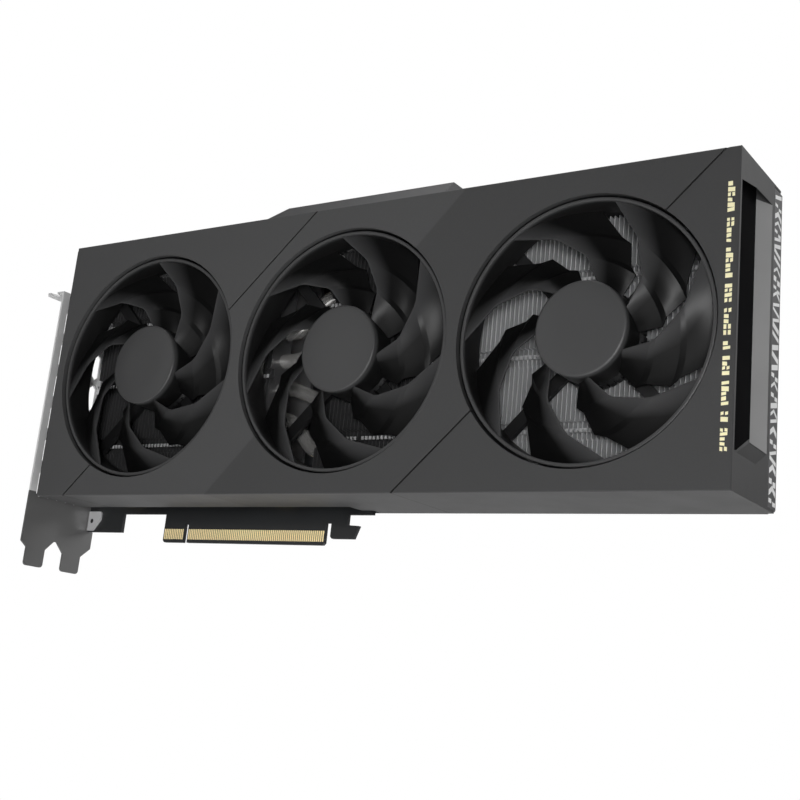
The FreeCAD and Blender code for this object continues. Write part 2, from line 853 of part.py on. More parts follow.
def power_socket():
    """Power inlet on the board's top edge, its mouth up."""
    x0 = power_socket_left()
    x1 = x0 + power_socket_width
    y0 = board_front - power_socket_height
    z0 = board_top - power_socket_depth
    z1 = top - 2.0
    rim = power_socket_wall
    body = box(x0, x1, y0, board_front, z0, z1)
    cavity = box(x0 + rim, x1 - rim, y0 + rim, board_front - rim, z0 + 2.0, z1 + 1)
    latch = box((x0 + x1) / 2 - 3, (x0 + x1) / 2 + 3, y0 - 0.4, y0 + 0.1, z1 - 5.0, z1 - 2.5)
    pins = []
    for row in range(2):
        for i in range(6):
            x = x0 + 2.5 + 3.0 * i
            y = y0 + 2.5 + 3.0 * row
            pins.append(box(x - 0.4, x + 0.4, y - 0.4, y + 0.4, z0 + 2.0, z1 - pin_recess))
    return body.cut(cavity).fuse(latch), pins


# ---- bracket and display sockets -------------------------------------------------------------------

def bracket_ears():
    """Height and half height of the two ears that hold the board, below and above the sockets."""
    flange_low = tongue_bottom + bracket_height - bracket_thickness
    return [(8.6, 4.2), (flange_low - 2.8, 2.6)]


def bracket_screw_places():
    return [(bracket_inner_x + ear_hole_inset, z) for z, half_height in bracket_ears()]


def socket_size(i):
    return hdmi_width if i == socket_count - 1 else socket_width


def display_socket(i):
    """A metal shell on the board with its mouth through the bracket, and the contact tongue inside."""
    z = socket_zs[i]
    half = socket_size(i) / 2
    x0 = bracket_inner_x - bracket_thickness - socket_stand_out
    x1 = x0 + socket_depth
    y0 = board_front - socket_height
    shell = box(x0, x1, y0, board_front, z - half, z + half)
    upright = [e for e in shell.Edges if abs(e.Vertexes[0].Y - e.Vertexes[-1].Y) < 1e-6
               and abs(e.Vertexes[0].Z - e.Vertexes[-1].Z) < 1e-6 and e.Vertexes[0].Y < board_front - 1]
    shell = shell.makeFillet(0.6, upright)
    cavity = box(x0 - 1, x1 - 2.0, y0 + socket_wall, board_front - socket_wall,
                 z - half + socket_wall, z + half - socket_wall)
    middle = (y0 + board_front) / 2
    tongue = box(x0 + tongue_recess, x1 - 2.0, middle - 0.6, middle + 0.6, z - half + 2.2, z + half - 2.2)
    return shell.cut(cavity), tongue


def vent(y, z):
    """A tall slot with pointed ends through the bracket."""
    half_width = 1.9
    half_height = 5.9
    point = 1.5
    outline = [(y - half_width, z - half_height + point), (y, z - half_height),
               (y + half_width, z - half_height + point), (y + half_width, z + half_height - point),
               (y, z + half_height), (y - half_width, z + half_height - point)]
    return bar(outline, bracket_inner_x - bracket_thickness - 1, bracket_inner_x + 1)


def io_bracket():
    back = bracket_back_y
    near = back - bracket_width
    outer = bracket_inner_x - bracket_thickness
    flange_top = tongue_bottom + bracket_height
    flange_low = flange_top - bracket_thickness
    half = tongue_width / 2
    first = tongue_centre_y
    second = tongue_centre_y - slot_pitch
    neck = tongue_bottom + tongue_length
    shoulder = neck + 4.2
    apex = (first + second) / 2
    outline = [
        (near, flange_top), (near, neck + 2.2), (second - half, neck), (second - half, tongue_bottom),
        (second + half, tongue_bottom), (second + half, neck), (apex - 0.8, shoulder), (apex + 0.8, shoulder),
        (first - half, neck), (first - half, tongue_bottom), (first + half, tongue_bottom), (first + half, neck),
        (back, shoulder), (back, 3.9), (back - 1.5, 5.4), (back - 1.5, flange_low - 6.0), (back, flange_low - 4.5),
        (back, flange_top),
    ]
    face = bar(outline, outer, bracket_inner_x)
    tips = [e for e in face.Edges if abs(e.Vertexes[0].X - e.Vertexes[-1].X) > 0.1
            and abs(e.Vertexes[0].Z - tongue_bottom) < 1e-6]
    face = face.makeFillet(1.5, tips)
    flange = box(outer - flange_length, bracket_inner_x, near, back, flange_low, flange_top)
    corners = [e for e in flange.Edges if all(abs(v.X - (outer - flange_length)) < 1e-6 for v in e.Vertexes)
               and abs(e.Vertexes[0].Y - e.Vertexes[-1].Y) < 1e-6]
    flange = flange.makeChamfer(2.0, corners)
    ears = []
    for z, half in bracket_ears():
        x = bracket_inner_x - 0.4
        outline = [(x, z - half), (x + 4.6, z - half), (x + 8.4, z + half * 0.1), (x + 8.4, z + half), (x, z + half)]
        ear = plate(outline, board_front - bracket_thickness, board_front)
        corners = [e for e in ear.Edges if abs(e.Vertexes[0].Y - e.Vertexes[-1].Y) > 0.1
                   and e.Vertexes[0].X > x + 1]
        ears.append(ear.makeFillet(0.9, corners))
    body = joined([face, flange] + ears)
    cuts = []
    y0 = board_front - socket_height
    for i, z in enumerate(socket_zs):
        reach = socket_size(i) / 2 + socket_window_gap
        cuts.append(box(outer - 1, bracket_inner_x + 1, y0 - socket_window_gap, board_front + socket_window_gap,
                        z - reach, z + reach))
    for column in range(5):
        for row in range(6):
            cuts.append(vent(y0 - 4.0 - vent_pitch_y * column, bottom + 49.2 + vent_pitch_z * (row - 3)))
    hole_x = outer - flange_hole_inset
    cuts.append(Part.makeCylinder(flange_hole_radius, 4, V(hole_x, flange_hole_y, flange_low - 2)))
    notch_y = flange_hole_y - slot_pitch
    cuts.append(Part.makeCylinder(flange_hole_radius, 4, V(hole_x, notch_y, flange_low - 2)))
    cuts.append(box(hole_x - flange_hole_radius, hole_x + flange_hole_radius, near - 1, notch_y,
                    flange_low - 1, flange_top + 1))
    for x, z in bracket_screw_places():
        cuts.append(rod(x, z, ear_hole_radius, board_front - 2, board_front + 0.5))
    return body.cut(cuts)


def bracket_screws():
    """Screws from behind the board into the ears of the bracket."""
    screws = []
    for x, z in bracket_screw_places():
        head = rod(x, z, 2.2, board_back, board_back + 1.2)
        shank = rod(x, z, ear_hole_radius, board_front - bracket_thickness + 0.2, board_back)
        slot = box(x - 1.4, x + 1.4, board_back + 0.7, board_back + 2, z - 0.3, z + 0.3)
        screws.append(joined([head, shank]).cut(slot))
    return screws


# ---- backplate -------------------------------------------------------------------------------------

def chamfered_outline(x0, x1, z0, z1, corner):
    return [(x0 + corner, z0), (x1, z0), (x1, z1 - corner), (x1 - corner, z1), (x0, z1), (x0, z0 + corner)]


def backplate():
    x1 = right - trim_thickness
    body = box(cooler_left, x1, backplate_front, backplate_back, bottom, top)
    rim = [e for e in body.Edges if all(abs(v.Y - backplate_back) < 1e-6 for v in e.Vertexes)
           and not all(abs(v.X - x1) < 1e-6 for v in e.Vertexes)]
    body = body.makeChamfer(0.8, rim)
    added = []
    cuts = []
    for x in left_boss_xs:
        for z in left_boss_zs:
            added.append(rod(x, z, long_boss_radius, board_back, backplate_front + 0.5))
    body = body.multiFuse(added)
    window_left = fan_xs[2] - opening_radius - 1.0
    outline = chamfered_outline(window_left, x1 - window_margin, bottom + window_margin,
                                top - window_margin, window_corner)
    cuts.append(plate(outline, backplate_front - 1, backplate_back + 1))
    slot_low = bottom + window_margin
    slot_high = top - window_margin
    lean = 12.0
    for i in range(4):
        x = cooler_left + full_fin_start + 4.0 + 8.0 * i
        if x + 4.4 + lean > window_left - 3.0:
            break
        outline = [(x, slot_low), (x + 4.4, slot_low), (x + 4.4 + lean, slot_high), (x + lean, slot_high)]
        cuts.append(plate(outline, backplate_front - 1, backplate_back + 1))
    for xs, zs in ((left_boss_xs, left_boss_zs), (right_boss_xs, right_boss_zs)):
        for x in xs:
            for z in zs:
                cuts.append(rod(x, z, long_screw_radius + screw_clearance, board_back - 1, backplate_back + 1))
                cuts.append(rod(x, z, head_radius + 0.2, backplate_back - head_height, backplate_back + 1))
    return body.cut(cuts)


def backplate_screws():
    screws = []
    seat = backplate_back - head_height
    for xs, zs, tip in ((left_boss_xs, left_boss_zs, front + side_depth - 6.0),
                        (right_boss_xs, right_boss_zs, backplate_front - 6.0)):
        for x in xs:
            for z in zs:
                head = rod(x, z, head_radius, seat, seat + 1.1)
                shank = rod(x, z, long_screw_radius, tip, seat)
                slot = [box(x - 1.3, x + 1.3, seat + 0.5, seat + 2, z - 0.3, z + 0.3),
                        box(x - 0.3, x + 0.3, seat + 0.5, seat + 2, z - 1.3, z + 1.3)]
                screws.append(joined([head, shank]).cut(slot))
    return screws


# ---- every piece -----------------------------------------------------------------------------------

def main():
    os.makedirs("parts", exist_ok=True)
    write("front_shroud", [front_shroud()])
    write("cover_bosses", cover_bosses())
    write("shroud_frame", [shroud_frame()])
    write("power_guard", [power_guard()])
    write("end_trim", [end_trim()])
    write("end_inlay", [end_inlay()])
    make_fans()
    write("fan_screws", fan_screws())
    write("fan_leads", fan_leads())
    write("fan_headers", [on_board(x, board_top - 2.6, 5.0, 4.0, 3.6) for x in header_xs()])
    write("left_fin_stack", [left_fin_stack()])
    write("middle_fin_stack", [middle_fin_stack()])
    write("right_fin_stack", [right_fin_stack()])
    for i in range(len(pipe_spread)):
        write("heat_pipe_" + str(i + 1), [heat_pipe(i)])
    write("cold_plate", [cold_plate()])
    write("circuit_board", [board()])
    write("edge_contacts", edge_contacts())
    write("gpu_package", [on_board(gpu_x, gpu_z, package_size, package_size, package_height)])
    die = box(gpu_x - die_size / 2, gpu_x + die_size / 2, die_front, die_front + die_height,
              gpu_z - die_size / 2, gpu_z + die_size / 2)
    write("gpu_die", [die])
    memory = [on_board(x, z, memory_width, memory_length, memory_height) for x, z in memory_places()]
    write("memory_chips", memory)
    write("thermal_pads", thermal_pads())
    write("base_plate", [base_plate()])
    write("power_inductors", [on_board(x, z, 7.0, 7.4, 4.0) for x, z in power_places()])
    write("power_transistors", [on_board(x + 8.0, z, 5.0, 6.0, 1.0) for x, z in power_places()])
    cans = [rod(x + 16.0, z, 3.1, board_front - 5.8, board_front) for x, z in power_places()]
    write("capacitors", cans)
    write("retention_spring", [retention_spring()])
    write("retention_screws", retention_screws())
    write("board_standoffs", standoffs())
    socket, pins = power_socket()
    write("power_socket", [socket])
    write("power_pins", pins)
    tongues = []
    for i in range(socket_count):
        shell, tongue = display_socket(i)
        tongues.append(tongue)
        write("hdmi_socket" if i == socket_count - 1 else "displayport_socket_" + str(i + 1), [shell])
    write("socket_tongues", tongues)
    write("io_bracket", [io_bracket()])
    write("bracket_screws", bracket_screws())
    write("backplate", [backplate()])
    write("backplate_screws", backplate_screws())


main()
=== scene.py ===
import json
import math
import random

import bmesh
import bpy
from mathutils import Matrix, Vector


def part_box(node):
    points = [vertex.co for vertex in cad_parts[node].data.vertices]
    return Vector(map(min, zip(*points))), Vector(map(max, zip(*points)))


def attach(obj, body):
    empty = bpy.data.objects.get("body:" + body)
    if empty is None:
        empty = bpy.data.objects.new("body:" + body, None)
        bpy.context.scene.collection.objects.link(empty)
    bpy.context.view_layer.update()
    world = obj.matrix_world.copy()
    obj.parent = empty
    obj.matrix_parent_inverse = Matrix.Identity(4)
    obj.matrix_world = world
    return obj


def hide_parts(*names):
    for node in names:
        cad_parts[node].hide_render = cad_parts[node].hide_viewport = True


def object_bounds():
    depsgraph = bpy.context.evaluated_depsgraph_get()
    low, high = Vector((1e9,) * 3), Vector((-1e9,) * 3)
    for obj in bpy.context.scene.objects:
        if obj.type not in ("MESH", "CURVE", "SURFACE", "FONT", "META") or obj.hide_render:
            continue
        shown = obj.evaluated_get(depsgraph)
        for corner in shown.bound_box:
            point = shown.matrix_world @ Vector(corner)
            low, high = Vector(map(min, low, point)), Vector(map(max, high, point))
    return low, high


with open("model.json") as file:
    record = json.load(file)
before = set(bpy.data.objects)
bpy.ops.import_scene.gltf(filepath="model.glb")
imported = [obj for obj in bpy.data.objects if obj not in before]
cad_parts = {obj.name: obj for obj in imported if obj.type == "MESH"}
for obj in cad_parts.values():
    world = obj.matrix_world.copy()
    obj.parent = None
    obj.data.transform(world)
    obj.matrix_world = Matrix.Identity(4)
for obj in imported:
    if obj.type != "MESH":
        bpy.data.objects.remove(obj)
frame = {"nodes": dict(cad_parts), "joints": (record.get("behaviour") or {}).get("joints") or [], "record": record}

MM = 0.001
nodes = frame["nodes"]
cad_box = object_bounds()

# ---- places read from the frame, in metres -----------------------------------------------------------
cover_low, cover_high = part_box("front_shroud")
trim_low, trim_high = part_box("end_trim")
front_y = cover_low.y
left_x, right_x = cover_low.x, cover_high.x
bottom_z, top_z = cover_low.z, cover_high.z
bracket_thickness = 0.86 * MM
bracket_outer = next(m["pos_m"][0] for m in frame["record"]["mounts"] if m["name"] == "bracket_face")
bracket_inner = bracket_outer + bracket_thickness


def card_point(x, y, z):
    """A point in millimetres right of, behind and above the cooler's lower left front corner."""
    return Vector((left_x + x * MM, front_y + y * MM, bottom_z + z * MM))


# ---- camera, lights and stage ------------------------------------------------------------------------

# name, direction from the card, distance, size, power
LIGHTS = (
    ("key_light", (0.52, -0.82, -0.16), 0.85, (0.16, 0.16), 3.6),
    ("fill_light", (-0.55, -0.80, 0.25), 1.3, (0.6, 0.9), 1.6),
    ("end_light", (0.80, 0.50, 0.35), 1.0, (0.5, 0.5), 3.0),
    ("top_light", (-0.1, 0.1, 1.0), 1.2, (1.0, 0.6), 7.0),
    ("low_light", (0.25, -0.45, -0.50), 0.38, (0.5, 0.2), 0.24),
    ("back_light", (-0.3, 1.0, 0.35), 1.2, (0.9, 0.7), 8.0),
)
GLOW = 0.045
FLOOR_REACH = 1.3
FLOOR_DROP = 0.30
FLOOR_LIFT = 0.85


def make_camera():
    """The camera stands low, in front of the card's right end, and looks up at it."""
    azimuth, elevation, roll = 34.33, -14.99, 5.66
    place = (0.3783, -0.4039, -0.05665)
    data = bpy.data.cameras.new("camera")
    data.sensor_width = 36.0
    data.lens = 58.43
    data.shift_x = -0.0096
    data.shift_y = -0.0546
    data.clip_start = 0.01
    data.clip_end = 100.0
    camera = bpy.data.objects.new("camera", data)
    turn = Matrix.Rotation(math.radians(azimuth), 4, "Z")
    tilt = Matrix.Rotation(math.radians(90 - elevation), 4, "X")
    lean = Matrix.Rotation(math.radians(roll), 4, "Z")
    camera.matrix_world = Matrix.Translation(place) @ turn @ tilt @ lean
    bpy.context.scene.collection.objects.link(camera)
    bpy.context.scene.camera = camera


def make_lights():
    """Soft boxes round the middle of the card, each turned to face it."""
    length, depth, height = 300, 40, 110
    middle = (card_point(0, 0, 0) + card_point(length, depth, height)) / 2
    for name, direction, distance, size, power in LIGHTS:
        place = middle + Vector(direction).normalized() * distance
        data = bpy.data.lights.new(name, "AREA")
        data.shape = "RECTANGLE"
        data.size, data.size_y = size
        data.energy = power
        lamp = bpy.data.objects.new(name, data)
        lamp.location = place
        lamp.rotation_mode = "QUATERNION"
        lamp.rotation_quaternion = (middle - place).to_track_quat("-Z", "Y")
        lamp.visible_camera = False
        bpy.context.scene.collection.objects.link(lamp)


def make_world():
    """White where the camera sees it, and dimmer as a light, so that the black parts stay black."""
    world = bpy.data.worlds.new("studio")
    world.use_nodes = True
    tree = world.node_tree
    backdrop = tree.nodes["Background"]
    glow = tree.nodes.new("ShaderNodeBackground")
    for node, strength in ((backdrop, 1.0), (glow, GLOW)):
        node.inputs["Color"].default_value = (1, 1, 1, 1)
        node.inputs["Strength"].default_value = strength
    path = tree.nodes.new("ShaderNodeLightPath")
    mix = tree.nodes.new("ShaderNodeMixShader")
    tree.links.new(path.outputs["Is Camera Ray"], mix.inputs["Fac"])
    tree.links.new(glow.outputs["Background"], mix.inputs[1])
    tree.links.new(backdrop.outputs["Background"], mix.inputs[2])
    tree.links.new(mix.outputs["Shader"], tree.nodes["World Output"].inputs["Surface"])
    bpy.context.scene.world = world
    bpy.context.scene.view_settings.view_transform = "Standard"


def make_floor():
    """A pale paper floor, a little brighter to the camera than its own light makes it."""
    mesh = bpy.data.meshes.new("studio_floor")
    height = cad_box[0].z - FLOOR_DROP
    sides = ((-1, -1), (1, -1), (1, 1), (-1, 1))
    mesh.from_pydata([(FLOOR_REACH * x, FLOOR_REACH * y, height) for x, y in sides], [], [(0, 1, 2, 3)])
    floor = bpy.data.objects.new("studio_floor", mesh)
    bpy.context.scene.collection.objects.link(floor)
    material = bpy.data.materials.new("floor_paper")
    material.use_nodes = True
    tree = material.node_tree
    shader = tree.nodes["Principled BSDF"]
    shader.inputs["Base Color"].default_value = (0.93, 0.93, 0.93, 1)
    shader.inputs["Roughness"].default_value = 0.9
    shader.inputs["Emission Color"].default_value = (1, 1, 1, 1)
    path = tree.nodes.new("ShaderNodeLightPath")
    lift = math_node(tree, "MULTIPLY", path.outputs["Is Camera Ray"], FLOOR_LIFT)
    tree.links.new(lift, shader.inputs["Emission Strength"])
    mesh.materials.append(material)


# ---- shader nodes ------------------------------------------------------------------------------------

def math_node(tree, operation, *values):
    """The result of one operation on sockets and numbers."""
    node = tree.nodes.new("ShaderNodeMath")
    node.operation = operation
    for socket, value in zip(node.inputs, values):
        if isinstance(value, bpy.types.NodeSocket):
            tree.links.new(value, socket)
        else:
            socket.default_value = value
    return node.outputs[0]


def ranged(tree, value, start, end, low=0.0, high=1.0):
    """A value that goes from low at start to high at end, and stays there past them."""
    node = tree.nodes.new("ShaderNodeMapRange")
    for name, number in (("From Min", start), ("From Max", end), ("To Min", low), ("To Max", high)):
        node.inputs[name].default_value = number
    tree.links.new(value, node.inputs["Value"])
    return node.outputs["Result"]


def mixed(tree, factor, first, second, blend="MIX"):
    """Two colours mixed by a factor. Each is a socket or three numbers."""
    node = tree.nodes.new("ShaderNodeMix")
    node.data_type = "RGBA"
    node.blend_type = blend
    tree.links.new(factor, node.inputs[0])
    for socket, colour in ((node.inputs[6], first), (node.inputs[7], second)):
        if isinstance(colour, tuple):
            socket.default_value = (*colour, 1)
        else:
            tree.links.new(colour, socket)
    return node.outputs[2]


def along(tree, place, axis):
    """The place on one axis of the card's frame."""
    split = tree.nodes.new("ShaderNodeSeparateXYZ")
    tree.links.new(place.outputs["Object"], split.inputs[0])
    return split.outputs[axis]


def dimmed(tree, factor, colour, keep):
    """The colour, dimmed to a share of itself where the factor is 1."""
    return mixed(tree, factor, colour, (keep, keep, keep), "MULTIPLY")


# ---- materials ---------------------------------------------------------------------------------------

CLOUD_SCALE = 45.0
NOISE_LOW, NOISE_HIGH = 0.3, 0.7
GRAIN_DEPTH = 0.0002
COAT_ROUGHNESS = 0.12


def surface(name, colour, roughness, metallic=0.0, variation=0.12, grain=900.0, bump=0.04,
            wear=0.08, stretch=(1, 1, 1), coat=0.0, specular=0.5, flecks=0.0, tone=None):
    """A procedural finish: cloudy colour, uneven gloss and a fine grain in the surface, in object space."""
    material = bpy.data.materials.new(name)
    material.use_nodes = True
    tree = material.node_tree
    shader = tree.nodes["Principled BSDF"]
    shader.inputs["Metallic"].default_value = metallic
    shader.inputs["Specular IOR Level"].default_value = specular
    shader.inputs["Coat Weight"].default_value = coat
    shader.inputs["Coat Roughness"].default_value = COAT_ROUGHNESS
    place = tree.nodes.new("ShaderNodeTexCoord")
    mapping = tree.nodes.new("ShaderNodeMapping")
    mapping.inputs["Scale"].default_value = stretch
    tree.links.new(place.outputs["Object"], mapping.inputs["Vector"])

    def noise(scale, detail):
        node = tree.nodes.new("ShaderNodeTexNoise")
        node.inputs["Scale"].default_value = scale
        node.inputs["Detail"].default_value = detail
        tree.links.new(mapping.outputs["Vector"], node.inputs["Vector"])
        return node.outputs["Fac"]

    def spread(value, low, high):
        return ranged(tree, value, NOISE_LOW, NOISE_HIGH, low, high)

    broad = noise(CLOUD_SCALE, 3.0)
    fine = noise(grain, 2.0)
    darker = tuple(c * (1 - variation) for c in colour)
    lighter = tuple(min(1.0, c * (1 + variation)) for c in colour)
    shade = mixed(tree, spread(broad, 0.0, 1.0), darker, lighter)
    if flecks:
        fleck = tuple(min(1.0, c * (1 + flecks) + 0.01 * flecks) for c in colour)
        shade = mixed(tree, spread(fine, 0.0, 1.0), shade, fleck)
    # a finish's tone lays painted shade, shadow or reflection over the colour
    if tone:
        shade = tone(tree, place, shade)
    tree.links.new(shade, shader.inputs["Base Color"])
    gloss = spread(broad, roughness * (1 - wear), min(1.0, roughness * (1 + wear)))
    tree.links.new(gloss, shader.inputs["Roughness"])
    relief = tree.nodes.new("ShaderNodeBump")
    relief.inputs["Strength"].default_value = bump
    relief.inputs["Distance"].default_value = GRAIN_DEPTH
    tree.links.new(fine, relief.inputs["Height"])
    tree.links.new(relief.outputs["Normal"], shader.inputs["Normal"])
    return material


# a line's places on the cover's lower and upper edges, how soft it is, and the share of colour kept past it as
# painted shade
PANEL_LINES = ((93.9, 199.6, 0.5, 0.72), (179.4, 295.0, 0.3, 0.96))
# the grooves' lines, and their half width, softness and share of colour kept in their painted shadow
GROOVE_LINES = ((15.8, 132.5), (179.5, 295.8))
GROOVE_HALF, GROOVE_SOFT, GROOVE_SHADE = 0.45, 0.05, 0.06


def painted_panel_shade(tree, place, colour):
    """Painted shade: the cover's colour is darkened past two leaning lines across its panels, and painted shadow
    darkens its grooves.
    """
    across = along(tree, place, "X")
    up = along(tree, place, "Z")

    def beyond(low_end, high_end, soft):
        """0 on the left of the line between two places on the lower and upper edges, 1 on its right."""
        lean = (high_end - low_end) * MM / (top_z - bottom_z)
        offset = math_node(tree, "MULTIPLY_ADD", up, -lean, lean * bottom_z - (left_x + low_end * MM))
        distance = math_node(tree, "ADD", across, offset)
        return ranged(tree, distance, -soft * MM, soft * MM)

    for low_end, high_end, soft, keep in PANEL_LINES:
        colour = dimmed(tree, beyond(low_end, high_end, soft), colour, keep)
    for low_end, high_end in GROOVE_LINES:
        before = beyond(low_end - GROOVE_HALF, high_end - GROOVE_HALF, GROOVE_SOFT)
        after = beyond(low_end + GROOVE_HALF, high_end + GROOVE_HALF, GROOVE_SOFT)
        groove_shadow = math_node(tree, "SUBTRACT", before, after)
        colour = dimmed(tree, groove_shadow, colour, GROOVE_SHADE)
    return colour


# share of colour kept where the fan parts' painted shade is deepest
DEEP_SHADE = 0.12


def painted_depth_shade(near_depth, far_depth):
    """Painted shade: a fan part is satin grey at the front, and is painted darker, to near black, deeper in the
    duct.
    """
    def tone(tree, place, colour):
        depth = ranged(tree, along(tree, place, "Y"), front_y + near_depth * MM, front_y + far_depth * MM)
        return dimmed(tree, depth, colour, DEEP_SHADE)
    return tone


def bracket_painted_reflection(tree, place, colour):
    """Painted reflection: the bracket is bright beside the shroud, and painted dark at its lower end where its
    steel would reflect dark surroundings; its ears are light grey.
    """
    reflection_bright_above, reflection_dark_below, dark_reflection_share = 3.0, 2.5, 0.17
    ear_start, ear_full, ear_grey = 0.6, 0.9, (0.62, 0.62, 0.63)
    up = along(tree, place, "Z")
    across = along(tree, place, "X")
    lower = ranged(tree, up, bottom_z + reflection_bright_above * MM, bottom_z + reflection_dark_below * MM)
    ears = ranged(tree, across, bracket_inner + ear_start * MM, bracket_inner + ear_full * MM)
    return mixed(tree, ears, dimmed(tree, lower, colour, dark_reflection_share), ear_grey)


def fin_painted_shade(tree, place, colour):
    """Painted shade: the fins keep their bright colour towards the far end of the cooler, and are painted dark on
    the bracket's side, where less light reaches them.
    """
    shaded_up_to, bright_from, painted_shade_grey = 185, 205, (0.07, 0.07, 0.072)
    bright = ranged(tree, along(tree, place, "X"), left_x + shaded_up_to * MM, left_x + bright_from * MM)
    return mixed(tree, bright, painted_shade_grey, colour)


# colour, roughness and the rest of each finish: one for each material slot, then those of added pieces
FINISHES = {
    # the shroud's colour carries painted shade past two leaning lines and painted shadow in its grooves
    "shroud_plastic": ((0.060, 0.060, 0.061), 0.50,
                       dict(bump=0.10, grain=2600, flecks=0.10, variation=0.04, tone=painted_panel_shade)),
    "gloss_black": ((0.004, 0.004, 0.0045), 0.8, dict(bump=0.01, specular=0.02)),
    "guard_metal": ((0.075, 0.075, 0.077), 0.42, dict(bump=0.06, grain=2200)),
    "trim_plastic": ((0.085, 0.085, 0.087), 0.45, dict(bump=0.08, grain=2400)),
    "backplate_metal": ((0.048, 0.048, 0.05), 0.5,
                        dict(metallic=0.2, bump=0.12, grain=2600, flecks=0.15)),
    "board": ((0.010, 0.011, 0.012), 0.38, dict(bump=0.10, grain=1400, coat=0.1)),
    "gold": ((1.0, 0.80, 0.43), 0.40, dict(variation=0.05, bump=0.05)),
    # the fins carry painted shade on the bracket's side
    "fin_aluminium": ((0.56, 0.565, 0.575), 0.45,
                      dict(metallic=0.35, variation=0.08, bump=0.08, stretch=(1, 1, 0.15), tone=fin_painted_shade)),
    "pipe_nickel": ((0.74, 0.73, 0.71), 0.24,
                    dict(metallic=0.75, variation=0.05, bump=0.05, stretch=(0.2, 1, 1))),
    "copper": ((0.80, 0.43, 0.28), 0.30, dict(metallic=1.0, bump=0.08, stretch=(0.1, 1, 1))),
    "package": ((0.02, 0.07, 0.04), 0.35, {}),
    "silicon": ((0.18, 0.19, 0.22), 0.12, dict(coat=0.5)),
    "chip": ((0.022, 0.022, 0.024), 0.6, dict(bump=0.2, grain=3000)),
    "pad": ((0.42, 0.48, 0.56), 0.8, {}),
    "plate_aluminium": ((0.5, 0.5, 0.51), 0.45, dict(metallic=1.0)),
    "inductor": ((0.11, 0.11, 0.115), 0.6, dict(flecks=0.5)),
    "can": ((0.7, 0.7, 0.71), 0.28, dict(metallic=1.0)),
    "spring_steel": ((0.6, 0.6, 0.61), 0.3, dict(metallic=1.0)),
    "screw_steel": ((0.66, 0.66, 0.67), 0.3, dict(metallic=1.0)),
    "black_screw": ((0.035, 0.035, 0.037), 0.4, dict(metallic=0.6)),
    "standoff_brass": ((0.78, 0.62, 0.35), 0.35, dict(metallic=1.0)),
    "socket_plastic": ((0.02, 0.02, 0.022), 0.45, {}),
    "socket_steel": ((0.75, 0.75, 0.76), 0.22, dict(metallic=1.0, stretch=(0.2, 1, 1))),
    # the bracket's near white colour stands in for a bright reflection off its steel, a painted reflection
    "bracket_steel": ((0.92, 0.92, 0.92), 0.34,
                      dict(metallic=0.35, variation=0.03, bump=0.05, stretch=(1, 1, 0.08),
                           tone=bracket_painted_reflection)),
    "lead_rubber": ((0.015, 0.015, 0.016), 0.6, {}),
    # the blades, hub caps and tip rings are painted darker deeper in the duct, as shade
    "rotor_plastic": ((0.042, 0.042, 0.043), 0.36,
                      dict(bump=0.03, grain=1800, variation=0.03, specular=0.14, tone=painted_depth_shade(1.9, 4.8))),
    "frame_plastic": ((0.008, 0.008, 0.0085), 0.5, dict(bump=0.1)),
    "magnet": ((0.1, 0.1, 0.1), 0.6, {}),
    "shaft_steel": ((0.75, 0.75, 0.76), 0.12, dict(metallic=1.0)),
    "bearing_brass": ((0.7, 0.5, 0.3), 0.4, dict(metallic=1.0)),
    "stator_copper": ((0.72, 0.38, 0.2), 0.35, dict(metallic=1.0, stretch=(1, 6, 1))),
    "panel_grey": ((0.26, 0.26, 0.26), 0.38, dict(bump=0.05, grain=2400, variation=0.03)),
    # black of the sheet of painted shade along the shroud's left edge
    "shadow_black": ((0.012, 0.012, 0.012), 0.6, dict(bump=0.08, grain=2400)),
    "tab_aluminium": ((0.75, 0.75, 0.76), 0.35, dict(metallic=0.5, variation=0.08)),
    "cap_plastic": ((0.050, 0.050, 0.051), 0.42,
                    dict(bump=0.05, grain=2400, variation=0.03, tone=painted_depth_shade(1.5, 3.0))),
    "cream_paint": ((0.93, 0.87, 0.55), 0.5, dict(variation=0.03, bump=0.05)),
    "white_paint": ((0.80, 0.80, 0.80), 0.5, dict(variation=0.05, bump=0.05)),
}


def dress_cad_nodes():
    """Each CAD node takes the finish of its material slot, but bracket_screws is black."""
    for part in frame["record"]["subparts"]:
        finish = "black_screw" if part["node"] == "bracket_screws" else part["material_slot"]
        materials = nodes[part["node"]].data.materials
        materials.clear()
        materials.append(made[finish])


# ---- pieces ------------------------------------------------------------------------------------------

SMOOTH_LIMIT = math.radians(38)


def piece(name, corners, faces, finish, body="card", smooth=False, creases=()):
    """A new piece that rides on a body. A smooth one stays sharp at its creases, pairs of corners."""
    mesh = bpy.data.meshes.new(name)
    mesh.from_pydata([tuple(c) for c in corners], [], faces)
    work = bmesh.new()
    work.from_mesh(mesh)
    bmesh.ops.recalc_face_normals(work, faces=work.faces)
    if smooth:
        sharp = {frozenset(pair) for pair in creases}
        for edge in work.edges:
            ends = frozenset(v.index for v in edge.verts)
            edge.smooth = ends not in sharp and edge.calc_face_angle(0.0) < SMOOTH_LIMIT
    work.to_mesh(mesh)
    work.free()
    for polygon in mesh.polygons:
        polygon.use_smooth = smooth
    mesh.materials.append(made[finish])
    new = bpy.data.objects.new(name, mesh)
    bpy.context.scene.collection.objects.link(new)
    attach(new, body)
    return new


def prisms(outlines, raise_by):
    """Corners and faces of closed prisms, each one an outline and its copy moved by a vector."""
    corners = []
    faces = []
    for outline in outlines:
        first = len(corners)
        count = len(outline)
        corners += list(outline) + [c + raise_by for c in outline]
        faces.append([first + i for i in range(count)])
        faces.append([first + count + i for i in range(count)])
        for i in range(count):
            j = (i + 1) % count
            faces.append([first + i, first + j, first + count + j, first + count + i])
    return corners, faces


# ---- pieces on the card ------------------------------------------------------------------------------

PAINT_THICKNESS = 0.03 * MM


